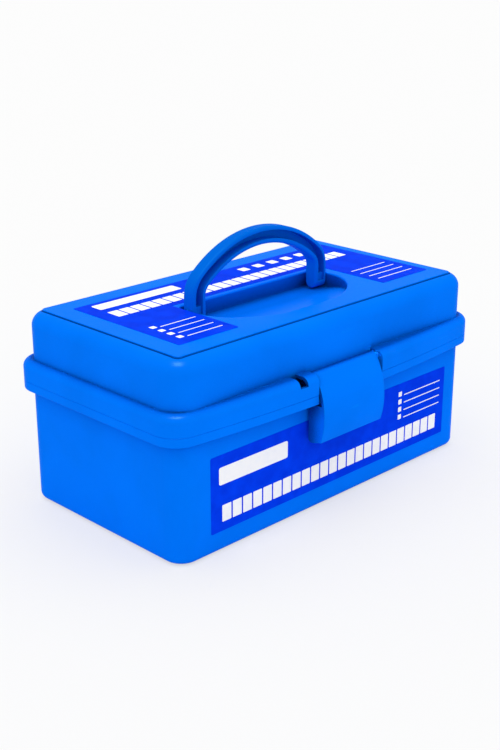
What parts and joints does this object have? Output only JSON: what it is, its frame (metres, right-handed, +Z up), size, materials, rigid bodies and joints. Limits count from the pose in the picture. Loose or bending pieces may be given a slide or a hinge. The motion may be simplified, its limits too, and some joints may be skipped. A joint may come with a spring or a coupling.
{
  "type": "specimen transport box",
  "caption": "Moulded carry case for sample jars: lipped tub, hinged lid with a folding handle in a scoop, front latch, lid seal, label panels and a foam insert with wells.",
  "frame": {"origin": "on the surface the box stands on, in the middle of its overall length and depth", "axes": "+X along the box, to the right as seen from the latch; -Y towards the latch, +Y towards the hinge; +Z up"},
  "size_m": [0.3, 0.1862, 0.1811],
  "materials": {
    "shell": "satin moulded polypropylene",
    "handle": "satin moulded polypropylene",
    "label": "printed self-adhesive film",
    "pin": "plain drawn steel",
    "seal": "matt soft rubber",
    "foam": "fine closed-cell foam",
    "pad": "white non-woven pad"
  },
  "bodies": {
    "tub": {"base_tub": "shell", "hinge_pin_left": "pin", "hinge_pin_right": "pin", "lid_seal": "seal", "foam_insert": "foam", "absorbent_pad": "pad", "front_label": "label"},
    "lid": {"lid_shell": "shell", "latch_pin": "pin", "handle_pin_left": "pin", "handle_pin_right": "pin", "top_label": "label"},
    "latch_flap": {"latch": "shell"},
    "handle": {"carry_handle": "handle"}
  },
  "joints": [
    {"name": "lid_hinge", "type": "hinge", "parent": "tub", "child": "lid", "pos_m": [0, 0.0876, 0.0888], "axis": [-1, 0, 0], "range_deg": [0, 105]},
    {"name": "latch_hinge", "type": "hinge", "parent": "lid", "child": "latch_flap", "pos_m": [0, -0.08158, 0.099], "axis": [-1, 0, 0], "range_deg": [0, 155]},
    {"name": "handle_hinge", "type": "hinge", "parent": "lid", "child": "handle", "pos_m": [0, -0.002, 0.131], "axis": [1, 0, 0], "range_deg": [-30, 78]}
  ]
}
